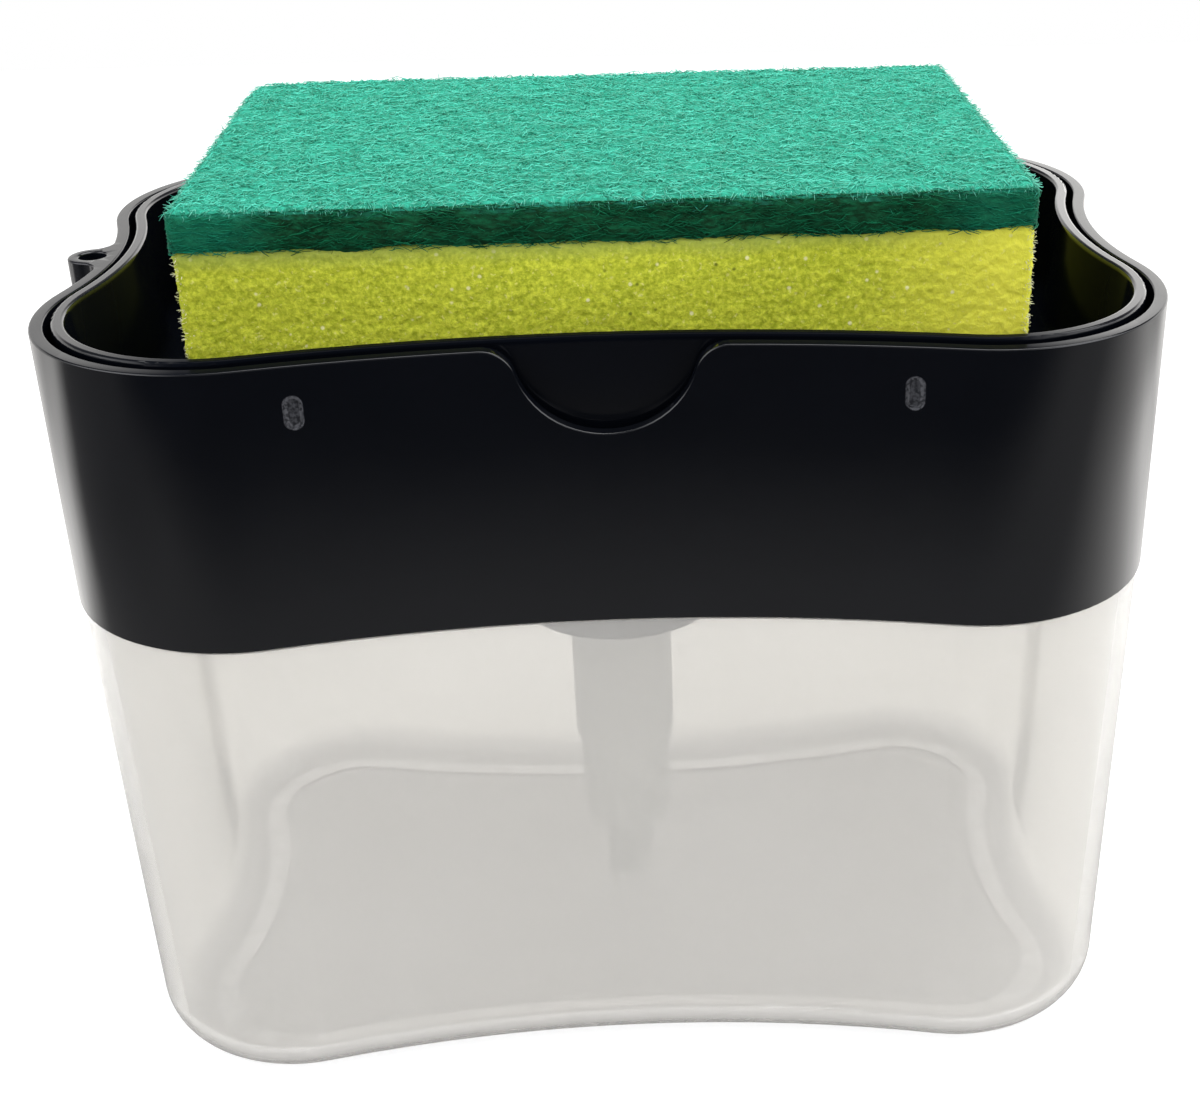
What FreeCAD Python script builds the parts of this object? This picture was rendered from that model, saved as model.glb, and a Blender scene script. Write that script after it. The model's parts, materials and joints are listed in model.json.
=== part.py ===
import FreeCAD, Part
import math
import os

# A soap pump caddy. A wavy translucent tank holds the soap and a black collar is pushed over its neck.
# The collar's deck has a well with a lift pump in it. A tray slides in the collar and works the pump,
# and a two-layer sponge lies in the tray. Millimetres, X to the right, Y to the back, Z up, and the
# origin is on the surface that the tank stands on, under the pump's axis.

# Outline seen from above: four round corners joined by hollow sides
half_width = 67.0
half_depth = 43.1
corner_radius = 22.2
front_hollow = 4.8
side_hollow = 3.1

# Tank
tank_height = 67.25
tank_inset = 0.4
tank_draft = 1.1
tank_wall = 1.8
tank_floor = 2.0
tank_base_round = 6.2
foot_width = 3.0
foot_recess = 0.6

# Collar, with its deck, well, lip and skirt
collar_height = 34.55
collar_wall = 1.65
lip_wall = 0.9
neck_gap = 0.25
shoulder_gap = 0.3
lap_height = 4.45
deck_thickness = 1.8
skirt_wall = 1.2
skirt_length = 5.7
deck_rib_count = 6
deck_rib_width = 1.4
deck_rib_depth = 4.2
well_radius = 14.9
well_wall = 1.6
well_depth = 22.6
well_floor = 1.8
well_edge_round = 1.0
pump_hole_gap = 0.35

# Finger notch in the collar's front
notch_radius = 10.5
notch_shoulder_radius = 4.0

# Hanging ear on the collar's left side
ear_hole_radius = 1.7
ear_hole_offset = 1.7
ear_radius = 3.1
ear_blend_radius = 2.5
ear_height = 6.0

# Oval dimples on the collar's front and back
dimple_reach = 34.3
dimple_drop = 5.5
dimple_width = 2.0
dimple_length = 3.8
dimple_depth = 0.35

# Tray
tray_gap = 0.8
tray_wall = 1.55
tray_rim_round = 0.45
tray_proud = 0.4
tray_depth = 16.6
tray_floor = 1.8
tray_draft = 0.4
tray_round = 4.0
drain_rib_width = 1.6
drain_rib_height = 0.9
drain_rib_margin = 6.4
drain_rib_pitch = 12.0
drain_ribs_a_side = 3
outlet_radius = 5.6
outlet_slot_width = 1.4
outlet_hole_radius = 1.3
socket_wall = 2.15
socket_length = 12.8
gusset_count = 8
gusset_width = 1.4
gusset_gap = 1.1
gusset_depth = 8.0
floor_rib_reach = 16.0
floor_rib_depth = 1.5

# Pump housing, from its flange down to the dip tube
housing_radius = 7.15
housing_wall = 1.0
housing_flange_width = 3.25
housing_flange_thickness = 1.6
housing_barrel_length = 25.4
housing_step_drop = 1.5
housing_step = 0.65
housing_lower_length = 12.7
housing_taper = 0.3
housing_tip_wall = 0.6
housing_tip_length = 1.2
chamber_depth = 3.7
cage_gap = 0.5
cage_lip = 0.3
cage_lip_height = 0.4
cage_height = 4.4
seat_drop = 1.3
seat_web = 0.6

# Small pieces of the pump
gasket_thickness = 1.2
ball_radius = 2.4
ball_gap = 0.1
tube_radius = 3.3
tube_wall = 0.8
tube_clearance = 1.0
guide_flange_step = 0.4
guide_flange_thickness = 1.6
guide_plug_length = 2.9
guide_tower_wall = 0.5
guide_tower_height = 4.9
guide_relief = 0.4
seal_width = 1.3
seal_thickness = 1.2
seal_recess = 0.2
nut_gap = 0.3
nut_wall = 1.8
nut_overlap = 2.0
nut_height = 6.9
nut_notch_count = 6
nut_notch_width = 3.0
nut_notch_depth = 2.0

# Stem, rod and piston, which go up and down in the pump
stem_radius = 3.0
stem_wall = 1.3
stem_engagement = 9.0
stem_shoulder_width = 1.0
stem_shoulder_height = 1.0
stem_stop_gap = 0.3
running_gap = 0.05
piston_gap = 0.04
piston_length = 6.1
piston_hub_wall = 1.3
piston_lip_wall = 0.8
piston_lip_length = 4.6
piston_web = 1.4
piston_play = 1.0
piston_seat_gap = 0.1
rod_flange_gap = 1.45
rod_flange_thickness = 1.2
rod_neck_wall = 0.6
rod_neck_height = 1.9
rod_length = 10.0
rod_rib_width = 0.9
stem_window_height = 1.6
stem_window_width = 2.4

# Return spring
spring_wire_radius = 0.45
spring_seat = 0.5
spring_side_gap = 0.45
spring_turns = 8
spring_gap = 0.05

# Sponge, a foam block with a scouring pad on it, sized by the room that the tray's floor leaves round it
sponge_end_margin = 11.2
sponge_side_margin = 2.5
sponge_shift = 0.4
sponge_turn_degrees = 0.8
foam_thickness = 24.9
pad_thickness = 5.0
sponge_gap = 0.3
sponge_edge_round = 3.0

# How far a cutting body runs past what it cuts, and how far off level a flat edge may be
overrun = 2.0
flat_slack = 0.0001

# Levels that follow from the sizes above
rim_z = tank_height + collar_height
deck_bottom = tank_height + lap_height
deck_top = deck_bottom + deck_thickness
skirt_bottom = deck_bottom - skirt_length
well_bottom = deck_top - well_depth
well_floor_top = well_bottom + well_floor
well_bore = well_radius - well_wall
neck_top = deck_bottom - shoulder_gap
shoulder_z = tank_height - shoulder_gap
neck_inset = lip_wall + neck_gap
neck_bore_inset = tank_inset + tank_wall
skirt_inset = neck_bore_inset + neck_gap
tray_rim = rim_z + tray_proud
tray_floor_top = tray_rim - tray_depth
tray_bottom = tray_floor_top - tray_floor
tray_inset = collar_wall + tray_gap
tray_floor_inset = tray_inset + tray_wall + tray_draft
socket_bottom = tray_bottom - socket_length
stem_top = socket_bottom + stem_engagement
flange_bottom = well_floor_top + gasket_thickness
flange_top = flange_bottom + housing_flange_thickness
barrel_bottom = flange_bottom - housing_barrel_length
lower_top = barrel_bottom - housing_step_drop
foot_z = lower_top - housing_lower_length
tip_z = foot_z - housing_tip_length
chamber_top = barrel_bottom - housing_wall / 2
chamber_bottom = chamber_top - chamber_depth
seat_top = chamber_bottom - cage_lip_height - cage_height
seat_bottom = seat_top - seat_drop
tube_top = seat_bottom - seat_web
guide_top = flange_top + guide_flange_thickness + guide_tower_height
guide_bottom = flange_top - guide_plug_length
stem_shoulder_top = guide_bottom - stem_stop_gap
stem_shoulder_bottom = stem_shoulder_top - stem_shoulder_height
piston_bottom = stem_shoulder_bottom - piston_play - piston_length
rod_flange_top = piston_bottom - piston_seat_gap
rod_flange_bottom = rod_flange_top - rod_flange_thickness
stem_bottom = rod_flange_top + rod_neck_height
sponge_bottom = tray_floor_top + drain_rib_height + sponge_gap
foam_top = sponge_bottom + foam_thickness

# Centres of the outline's arcs
corner_x = half_width - corner_radius
corner_y = half_depth - corner_radius
front_waist = half_depth - front_hollow
side_waist = half_width - side_hollow

# Radii of the pump that follow from its barrel, its stem, its ball and its tube
barrel_bore = housing_radius - housing_wall
housing_flange_radius = housing_radius + housing_flange_width
housing_lower_radius = housing_radius - housing_step
housing_foot_radius = housing_lower_radius - housing_taper
housing_tip_radius = tube_radius + housing_tip_wall
guide_flange_radius = housing_flange_radius - guide_flange_step
rod_flange_radius = barrel_bore - rod_flange_gap
spring_radius = rod_flange_radius - spring_seat
chamber_radius = spring_radius + spring_wire_radius + spring_side_gap
cage_radius = ball_radius + cage_gap
cage_lip_radius = ball_radius - cage_lip
stem_bore_radius = stem_radius - stem_wall
stem_shoulder_radius = stem_radius + stem_shoulder_width
rod_neck_radius = stem_bore_radius + rod_neck_wall
seal_radius = stem_radius + seal_width
guide_tower_radius = seal_radius + guide_tower_wall
socket_bore = stem_radius + running_gap
socket_radius = socket_bore + socket_wall

# The sponge's size
sponge_length = 2 * (side_waist - tray_floor_inset - sponge_end_margin)
sponge_width = 2 * (front_waist - tray_floor_inset - sponge_side_margin)
drain_rib_length = sponge_width - 2 * drain_rib_margin


def hollow_radius(along, across, waist):
    """Radius of the hollow arc that meets two corners, whose centres lie at along and across."""
    return (along ** 2 + (waist - across) ** 2 - corner_radius ** 2) / (2 * (corner_radius - waist + across))


front_radius = hollow_radius(corner_x, corner_y, front_waist)
side_radius = hollow_radius(corner_y, corner_x, side_waist)


def vector(x, y, z):
    return FreeCAD.Vector(x, y, z)


def corner_ends(inset):
    """The first corner's two ends and its middle, as seen from above with X and Y positive."""
    centre = vector(corner_x, corner_y, 0)
    radius = corner_radius - inset
    to_side = (vector(side_waist + side_radius, 0, 0) - centre).normalize()
    to_back = (vector(0, front_waist + front_radius, 0) - centre).normalize()
    to_middle = (to_side + to_back).normalize()
    if to_middle.dot(centre) < 0:
        to_middle = to_middle * -1
    return [centre + way * radius for way in (to_side, to_middle, to_back)]


def outline(inset, z):
    """The wavy outline at a height, drawn in from the collar's outer face by inset."""
    side, middle, back = corner_ends(inset)
    edges = []
    waist_x = side_waist - inset
    waist_y = front_waist - inset

    def place(point, sign_x, sign_y):
        return vector(point.x * sign_x, point.y * sign_y, z)

    def arc(first, through, last):
        edges.append(Part.Arc(first, through, last).toShape())

    arc(place(side, 1, 1), place(middle, 1, 1), place(back, 1, 1))
    arc(place(back, 1, 1), vector(0, waist_y, z), place(back, -1, 1))
    arc(place(back, -1, 1), place(middle, -1, 1), place(side, -1, 1))
    arc(place(side, -1, 1), vector(-waist_x, 0, z), place(side, -1, -1))
    arc(place(side, -1, -1), place(middle, -1, -1), place(back, -1, -1))
    arc(place(back, -1, -1), vector(0, -waist_y, z), place(back, 1, -1))
    arc(place(back, 1, -1), place(middle, 1, -1), place(side, 1, -1))
    arc(place(side, 1, -1), vector(waist_x, 0, z), place(side, 1, 1))
    return Part.Wire(edges)


def slab(inset, bottom, top):
    """An upright block with the wavy outline."""
    return Part.Face(outline(inset, bottom)).extrude(vector(0, 0, top - bottom))


def tapered(inset_bottom, bottom, inset_top, top):
    """A block whose wavy outline changes size from bottom to top."""
    return Part.makeLoft([outline(inset_bottom, bottom), outline(inset_top, top)], True, True)


def edges_at(shape, z):
    """The edges that lie flat at a height."""
    return [edge for edge in shape.Edges
            if abs(edge.BoundBox.ZMin - z) < flat_slack and edge.BoundBox.ZLength < flat_slack]


def turned(profile):
    """A solid of revolution about the pump's axis, from its (radius, height) points."""
    points = [vector(radius, 0, height) for radius, height in profile]
    wire = Part.makePolygon(points + [points[0]])
    return Part.Face(wire).revolve(vector(0, 0, 0), vector(0, 0, 1), 360)


def column(radius, bottom, top):
    """A round column on the pump's axis."""
    return Part.makeCylinder(radius, top - bottom, vector(0, 0, bottom))


def ring(outer, inner, bottom, top):
    """A round ring on the pump's axis."""
    return column(outer, bottom, top).cut(column(inner, bottom - overrun, top + overrun))


def spoke(inner, outer, width, bottom, top):
    """A flat bar that runs outwards along X from the pump's axis."""
    return Part.makeBox(outer - inner, width, top - bottom, vector(inner, -width / 2, bottom))


def around(shape, count, start=0):
    """Copies of a shape, evenly spaced about the pump's axis."""
    copies = []
    for index in range(count):
        copy = shape.copy()
        copy.rotate(vector(0, 0, 0), vector(0, 0, 1), start + 360 * index / count)
        copies.append(copy)
    return copies


def front_face_y(x):
    """Where the collar's front face is at a distance x from the middle."""
    return math.sqrt(front_radius ** 2 - x ** 2) - front_waist - front_radius


def make_tank():
    """The open tank: drafted wavy walls, a rebated neck and a rounded base on a foot rim."""
    base_inset = tank_inset + tank_draft
    body = tapered(base_inset, 0, tank_inset, shoulder_z)
    body = body.makeFillet(tank_base_round, edges_at(body, 0))
    neck = slab(neck_inset, shoulder_z, neck_top)
    cavity = tapered(base_inset + tank_wall, tank_floor, neck_bore_inset, neck_top + overrun)
    cavity = cavity.makeFillet(tank_base_round - tank_wall, edges_at(cavity, tank_floor))
    recess_inset = base_inset + tank_base_round + foot_width
    recess = slab(recess_inset, -overrun, foot_recess)
    return body.fuse(neck).cut(cavity).cut(recess)


def ear_profile():
    """The ear's outline: a round end round the hole that runs into the wall on two small hollows."""
    hole_x = -(side_waist + ear_hole_offset)
    wall_x = -(side_waist + side_radius)
    reach = hole_x - wall_x
    to_wall = side_radius - ear_blend_radius
    to_hole = ear_radius + ear_blend_radius
    along = (reach ** 2 + to_wall ** 2 - to_hole ** 2) / (2 * reach)
    across = math.sqrt(to_wall ** 2 - along ** 2)
    blend = vector(wall_x + along, across, 0)
    hole = vector(hole_x, 0, 0)
    wall = vector(wall_x, 0, 0)
    on_ear = hole + (blend - hole).normalize() * ear_radius
    on_wall = wall + (blend - wall).normalize() * side_radius
    middle_way = ((on_ear - blend) + (on_wall - blend)).normalize()
    through = blend + middle_way * ear_blend_radius
    inner_x = -(side_waist - collar_wall / 2)

    def mirrored(point):
        return vector(point.x, -point.y, point.z)

    edges = [
        Part.Arc(on_wall, through, on_ear).toShape(),
        Part.Arc(on_ear, hole - vector(ear_radius, 0, 0), mirrored(on_ear)).toShape(),
        Part.Arc(mirrored(on_ear), mirrored(through), mirrored(on_wall)).toShape(),
        Part.makeLine(mirrored(on_wall), vector(inner_x, -on_wall.y, 0)),
        Part.makeLine(vector(inner_x, -on_wall.y, 0), vector(inner_x, on_wall.y, 0)),
        Part.makeLine(vector(inner_x, on_wall.y, 0), on_wall),
    ]
    return Part.Wire(edges), hole


def make_ear():
    """The ear as a solid, and the cutter of its hole."""
    profile, hole = ear_profile()
    profile.translate(vector(0, 0, rim_z - ear_height))
    body = Part.Face(profile).extrude(vector(0, 0, ear_height))
    foot = hole + vector(0, 0, rim_z - ear_height - overrun)
    cutter = Part.makeCylinder(ear_hole_radius, ear_height + 2 * overrun, foot)
    return body, cutter


def notch_cutter():
    """What the finger notch takes out of the front wall: a half round with rounded shoulders."""
    shoulder_x = math.sqrt((notch_radius + notch_shoulder_radius) ** 2 - notch_shoulder_radius ** 2)
    shoulder_z_centre = rim_z - notch_shoulder_radius
    share = notch_radius / (notch_radius + notch_shoulder_radius)
    meet_x = shoulder_x * share
    meet_z = rim_z - notch_shoulder_radius * share
    start_y = -half_depth - overrun
    inner_y = -(front_waist - collar_wall) + tray_gap / 2

    def at(x, z):
        return vector(x, start_y, z)

    def shoulder_middle(sign):
        centre = at(sign * shoulder_x, shoulder_z_centre)
        up = at(sign * shoulder_x, rim_z) - centre
        aside = at(sign * meet_x, meet_z) - centre
        return centre + (up + aside).normalize() * notch_shoulder_radius

    top = rim_z + overrun
    edges = [
        Part.Arc(at(-shoulder_x, rim_z), shoulder_middle(-1), at(-meet_x, meet_z)).toShape(),
        Part.Arc(at(-meet_x, meet_z), at(0, rim_z - notch_radius), at(meet_x, meet_z)).toShape(),
        Part.Arc(at(meet_x, meet_z), shoulder_middle(1), at(shoulder_x, rim_z)).toShape(),
        Part.makeLine(at(shoulder_x, rim_z), at(shoulder_x, top)),
        Part.makeLine(at(shoulder_x, top), at(-shoulder_x, top)),
        Part.makeLine(at(-shoulder_x, top), at(-shoulder_x, rim_z)),
    ]
    return Part.Face(Part.Wire(edges)).extrude(vector(0, inner_y - start_y, 0))


def dimple_cutters():
    """Four shallow ovals, two on the front and two on the back, square to the face there."""
    cutters = []
    half_length = dimple_length / 2
    half_wide = dimple_width / 2
    straight = half_length - half_wide
    for sign_x in (-1, 1):
        for sign_y in (-1, 1):
            x = sign_x * dimple_reach
            face = vector(x, -sign_y * front_face_y(x), rim_z - dimple_drop)
            centre = vector(0, sign_y * (front_waist + front_radius), rim_z - dimple_drop)
            outward = (centre - face).normalize()
            start = face - outward * dimple_depth
            depth = outward * (dimple_depth + overrun)
            across = outward.cross(vector(0, 0, 1)).normalize()
            up = vector(0, 0, 1)
            corners = [
                start + across * half_wide + up * straight,
                start + up * half_length,
                start - across * half_wide + up * straight,
                start - across * half_wide - up * straight,
                start - up * half_length,
                start + across * half_wide - up * straight,
            ]
            edges = [
                Part.Arc(corners[0], corners[1], corners[2]).toShape(),
                Part.makeLine(corners[2], corners[3]),
                Part.Arc(corners[3], corners[4], corners[5]).toShape(),
                Part.makeLine(corners[5], corners[0]),
            ]
            cutters.append(Part.Face(Part.Wire(edges)).extrude(depth))
    return cutters


def make_well():
    """The well that hangs from the deck and holds the pump."""
    outer = column(well_radius, well_bottom, deck_bottom)
    return outer.makeFillet(well_edge_round, edges_at(outer, well_bottom))


def make_collar():
    """The collar: outer wall with its lip, deck, skirt, ribs, well, finger notch and ear."""
    body = slab(0, tank_height, rim_z)
    body = body.cut(slab(collar_wall, deck_top, rim_z + overrun))
    body = body.cut(slab(lip_wall, tank_height - overrun, deck_bottom))
    skirt = slab(skirt_inset, skirt_bottom, deck_bottom)
    skirt = skirt.cut(slab(skirt_inset + skirt_wall, skirt_bottom - overrun, deck_bottom + overrun))
    rib = spoke(0, half_width, deck_rib_width, deck_bottom - deck_rib_depth, deck_bottom)
    ribs = [piece.common(slab(skirt_inset + skirt_wall / 2, skirt_bottom, deck_top))
            for piece in around(rib, deck_rib_count)]
    ear, ear_hole = make_ear()
    body = body.multiFuse([skirt, make_well(), ear] + ribs)
    cutters = [
        column(well_bore, well_floor_top, rim_z),
        column(housing_radius + pump_hole_gap, well_bottom - overrun, rim_z),
        notch_cutter(),
        ear_hole,
    ]
    for cutter in cutters + dimple_cutters():
        body = body.cut(cutter)
    return body.removeSplitter()


def drain_ribs():
    """Low ribs on the tray's floor that hold the sponge up, either side of the outlet."""
    ribs = []
    bottom = tray_floor_top - tray_floor / 2
    height = tray_floor_top + drain_rib_height - bottom
    for index in range(1, drain_ribs_a_side + 1):
        for sign in (-1, 1):
            x = sign * index * drain_rib_pitch - drain_rib_width / 2
            corner = vector(x, -drain_rib_length / 2, bottom)
            ribs.append(Part.makeBox(drain_rib_width, drain_rib_length, height, corner))
    return ribs


def make_tray():
    """The tray: a wavy dish with an outlet in its floor and the pump's socket under it."""
    body = tapered(tray_inset + tray_draft, tray_bottom, tray_inset, tray_rim)
    body = body.makeFillet(tray_round, edges_at(body, tray_bottom))
    hollow_inset = tray_inset + tray_wall
    hollow = tapered(hollow_inset + tray_draft, tray_floor_top, hollow_inset, tray_rim + overrun)
    hollow = hollow.makeFillet(tray_round - tray_wall, edges_at(hollow, tray_floor_top))
    outlet_top = tray_floor_top + drain_rib_height
    outlet = turned([
        (0, tray_bottom), (outlet_radius + drain_rib_height, tray_bottom),
        (outlet_radius + drain_rib_height, tray_floor_top), (outlet_radius, outlet_top), (0, outlet_top),
    ])
    socket = column(socket_radius, socket_bottom, tray_floor_top)
    inner = socket_radius - gusset_width
    outer = well_bore - gusset_gap
    rib_end = outer + floor_rib_reach
    rib_z = tray_bottom - floor_rib_depth
    gusset_z = tray_bottom - gusset_depth
    gusset_points = [
        (inner, tray_bottom), (rib_end, tray_bottom), (rib_end, rib_z), (outer, rib_z),
        (socket_radius, gusset_z), (inner, gusset_z), (inner, tray_bottom),
    ]
    gusset_face = Part.Face(Part.makePolygon([vector(x, -gusset_width / 2, z) for x, z in gusset_points]))
    gusset = gusset_face.extrude(vector(0, gusset_width, 0))
    body = body.cut(hollow)
    body = body.multiFuse(drain_ribs() + [outlet, socket] + around(gusset, gusset_count))
    body = body.cut(column(socket_bore, socket_bottom - overrun, stem_top + running_gap))
    body = body.cut(column(outlet_hole_radius, stem_top, tray_rim))
    slot = spoke(-outlet_radius, outlet_radius, outlet_slot_width, tray_floor_top, tray_rim)
    for cutter in around(slot, 4)[:2]:
        body = body.cut(cutter)
    body = body.removeSplitter()
    return body.makeFillet(tray_rim_round, edges_at(body, tray_rim))


def make_housing():
    """The pump's housing: flange, barrel, spring chamber, ball cage and the dip tube's socket."""
    return turned([
        (barrel_bore, flange_top), (housing_flange_radius, flange_top),
        (housing_flange_radius, flange_bottom), (housing_radius, flange_bottom),
        (housing_radius, barrel_bottom), (housing_lower_radius, lower_top),
        (housing_foot_radius, foot_z), (housing_tip_radius, tip_z), (tube_radius, tip_z),
        (tube_radius, tube_top), (seat_radius(seat_bottom), tube_top), (seat_radius(seat_bottom), seat_bottom),
        (seat_radius(seat_top), seat_top), (cage_radius, chamber_bottom - cage_lip_height),
        (cage_lip_radius, chamber_bottom - cage_lip_height), (cage_lip_radius, chamber_bottom),
        (chamber_radius, chamber_bottom), (chamber_radius, chamber_top),
        (barrel_bore, chamber_top + barrel_bore - chamber_radius),
    ])


def seat_radius(z):
    """The ball's seat is a cone at 45 degrees that ends at the cage's wall."""
    return cage_radius - (seat_top - z)


def ball_centre():
    """Height of the ball's centre when it lies a small gap off its cone."""
    return seat_top - cage_radius + (ball_radius + ball_gap) * math.sqrt(2)


def make_gasket():
    return ring(housing_flange_radius, housing_radius + pump_hole_gap, well_floor_top, flange_bottom)


def make_dip_tube():
    """The dip tube, from its socket down to just over the tank's floor, with a slanted end."""
    bottom = tank_floor + tube_clearance
    tube = ring(tube_radius, tube_radius - tube_wall, bottom, tube_top)
    rise = tube_radius / 2
    reach = tube_radius + overrun
    wedge_points = [
        (-reach, bottom - overrun), (reach, bottom - overrun), (reach, bottom + rise),
        (tube_radius, bottom + rise), (-tube_radius, bottom), (-reach, bottom), (-reach, bottom - overrun),
    ]
    wedge = Part.Face(Part.makePolygon([vector(x, -reach, z) for x, z in wedge_points]))
    return tube.cut(wedge.extrude(vector(0, 2 * reach, 0)))


def make_stem_guide():
    """The guide that closes the housing and carries the stem, with a seat for its seal on top."""
    flange_upper = flange_top + guide_flange_thickness
    bore = stem_radius + running_gap
    seal_z = guide_top - seal_recess - seal_thickness
    return turned([
        (stem_radius + guide_relief, guide_bottom), (barrel_bore, guide_bottom), (barrel_bore, flange_top),
        (guide_flange_radius, flange_top), (guide_flange_radius, flange_upper),
        (guide_tower_radius, flange_upper), (guide_tower_radius, guide_top),
        (seal_radius, guide_top), (seal_radius, seal_z), (bore, seal_z),
        (bore, flange_upper), (stem_radius + guide_relief, flange_upper - guide_relief),
    ])


def make_stem_seal():
    top = guide_top - seal_recess
    return ring(seal_radius, stem_radius + running_gap, top - seal_thickness, top)


def make_nut():
    """The ring nut that holds the pump down in the well, with notches for its spanner."""
    bottom = flange_top + guide_flange_thickness
    top = bottom + nut_height
    outer = well_bore - nut_gap
    inner = guide_flange_radius - nut_overlap
    body = turned([
        (inner, bottom), (outer, bottom), (outer, top), (outer - nut_wall, top),
        (outer - nut_wall, bottom + nut_wall), (inner, bottom + nut_wall),
    ])
    inner_reach = outer - nut_wall - overrun
    notch = spoke(inner_reach, outer + overrun, nut_notch_width, top - nut_notch_depth, top + overrun)
    for cutter in around(notch, nut_notch_count):
        body = body.cut(cutter)
    return body


def make_stem():
    """The hollow stem, with a stop shoulder and two windows where the soap comes in."""
    body = turned([
        (stem_bore_radius, stem_bottom), (stem_radius, stem_bottom), (stem_radius, stem_shoulder_bottom),
        (stem_shoulder_radius, stem_shoulder_bottom), (stem_shoulder_radius, stem_shoulder_top),
        (stem_radius, stem_shoulder_top), (stem_radius, stem_top), (stem_bore_radius, stem_top),
    ])
    window = spoke(-stem_radius - overrun, stem_radius + overrun, stem_window_width,
                   stem_bottom - overrun, stem_bottom + stem_window_height)
    return body.cut(window)


def make_rod():
    """The rod in the stem's lower end: a cross-shaped shank and a flange that closes the piston."""
    shank_top = rod_flange_top + rod_length
    collar = column(rod_neck_radius, rod_flange_top, stem_bottom)
    flange = column(rod_flange_radius, rod_flange_bottom, rod_flange_top)
    blade = spoke(-stem_bore_radius, stem_bore_radius, rod_rib_width, rod_flange_top, shank_top)
    bore = column(stem_bore_radius, rod_flange_bottom, shank_top)
    blades = [piece.common(bore) for piece in around(blade, 4)[:2]]
    return flange.multiFuse([collar] + blades).removeSplitter()


def make_piston():
    """The piston: a hub that slides a little on the stem, and a lip at each end on the barrel's wall."""
    hub_bore = stem_radius + piston_gap
    hub = hub_bore + piston_hub_wall
    top = piston_bottom + piston_length
    lip_outer = barrel_bore - piston_gap
    lip_inner = lip_outer - piston_lip_wall
    lip_bottom = piston_bottom + (piston_length - piston_lip_length) / 2
    web_bottom = piston_bottom + (piston_length - piston_web) / 2
    return turned([
        (hub_bore, piston_bottom), (hub, piston_bottom), (hub, web_bottom), (lip_inner, web_bottom),
        (lip_inner, lip_bottom), (lip_outer, lip_bottom), (lip_outer, lip_bottom + piston_lip_length),
        (lip_inner, lip_bottom + piston_lip_length), (lip_inner, web_bottom + piston_web),
        (hub, web_bottom + piston_web), (hub, top), (hub_bore, top),
    ])


def make_ball():
    return Part.makeSphere(ball_radius, vector(0, 0, ball_centre()))


def arc_towards(start, corner, end):
    """The arc from start to end that is tangent to both lines of the corner between them."""
    middle = (start + end) / 2
    half_chord = (end - start).Length / 2
    outwards = corner - middle
    half_turn = math.atan2(outwards.Length, half_chord)
    through = middle + outwards.normalize() * half_chord * math.tan(half_turn / 2)
    return Part.Arc(start, through, end).toShape()


def biarc(start, start_way, end, end_way):
    """Two arcs, tangent where they meet, between two points of a coil and their directions."""
    gap = end - start
    ways = start_way + end_way
    turn = 2 * (1 - start_way.dot(end_way))
    reach = (math.sqrt(gap.dot(ways) ** 2 + turn * gap.dot(gap)) - gap.dot(ways)) / turn
    first = start + start_way * reach
    last = end - end_way * reach
    middle = (first + last) / 2
    return [arc_towards(start, first, middle), arc_towards(middle, last, end)]


def coil_point(share):
    """A point of the spring's centre line and the way it goes there, by its share of the length."""
    bottom = chamber_bottom + spring_wire_radius + spring_gap
    rise = rod_flange_bottom - spring_wire_radius - spring_gap - bottom
    angle = 2 * math.pi * spring_turns * share
    point = vector(spring_radius * math.cos(angle), spring_radius * math.sin(angle), bottom + rise * share)
    speed = 2 * math.pi * spring_turns * spring_radius
    way = vector(-speed * math.sin(angle), speed * math.cos(angle), rise).normalize()
    return point, way


def make_spring():
    """The return spring, one unbroken tube on quarter-turn biarcs."""
    steps = 4 * spring_turns
    edges = []
    for index in range(steps):
        start, start_way = coil_point(index / steps)
        end, end_way = coil_point((index + 1) / steps)
        edges += biarc(start, start_way, end, end_way)
    path = Part.Wire(edges)
    start, start_way = coil_point(0)
    section = Part.Wire([Part.Circle(start, start_way, spring_wire_radius).toShape()])
    print("spring: least gap between turns", round(spring_self_gap(), 2), "mm")
    return path.makePipeShell([section], True, False)


def spring_self_gap():
    """Least gap between one turn of the spring and the next, measured on points."""
    samples = 48 * spring_turns
    half_turn = samples // spring_turns // 2
    points = [coil_point(index / samples)[0] for index in range(samples + 1)]
    least = min((points[low] - points[high]).Length
                for low in range(samples) for high in range(low + half_turn, samples + 1))
    return least - 2 * spring_wire_radius


def sponge_layer(bottom, thickness):
    """One layer of the sponge, a block with rounded upright edges."""
    corner = vector(-sponge_length / 2, -sponge_width / 2, bottom)
    block = Part.makeBox(sponge_length, sponge_width, thickness, corner)
    upright = [edge for edge in block.Edges if edge.BoundBox.ZLength > thickness / 2]
    block = block.makeFillet(sponge_edge_round, upright)
    block.rotate(vector(0, 0, 0), vector(0, 0, 1), sponge_turn_degrees)
    block.translate(vector(sponge_shift, 0, 0))
    return block


nodes = {
    "tank": make_tank,
    "collar": make_collar,
    "tray": make_tray,
    "pump_housing": make_housing,
    "pump_gasket": make_gasket,
    "pump_nut": make_nut,
    "stem_guide": make_stem_guide,
    "stem_seal": make_stem_seal,
    "dip_tube": make_dip_tube,
    "inlet_ball": make_ball,
    "pump_stem": make_stem,
    "piston_rod": make_rod,
    "piston": make_piston,
    "return_spring": make_spring,
    "sponge_foam": lambda: sponge_layer(sponge_bottom, foam_thickness),
    "scouring_pad": lambda: sponge_layer(foam_top, pad_thickness),
}

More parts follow.
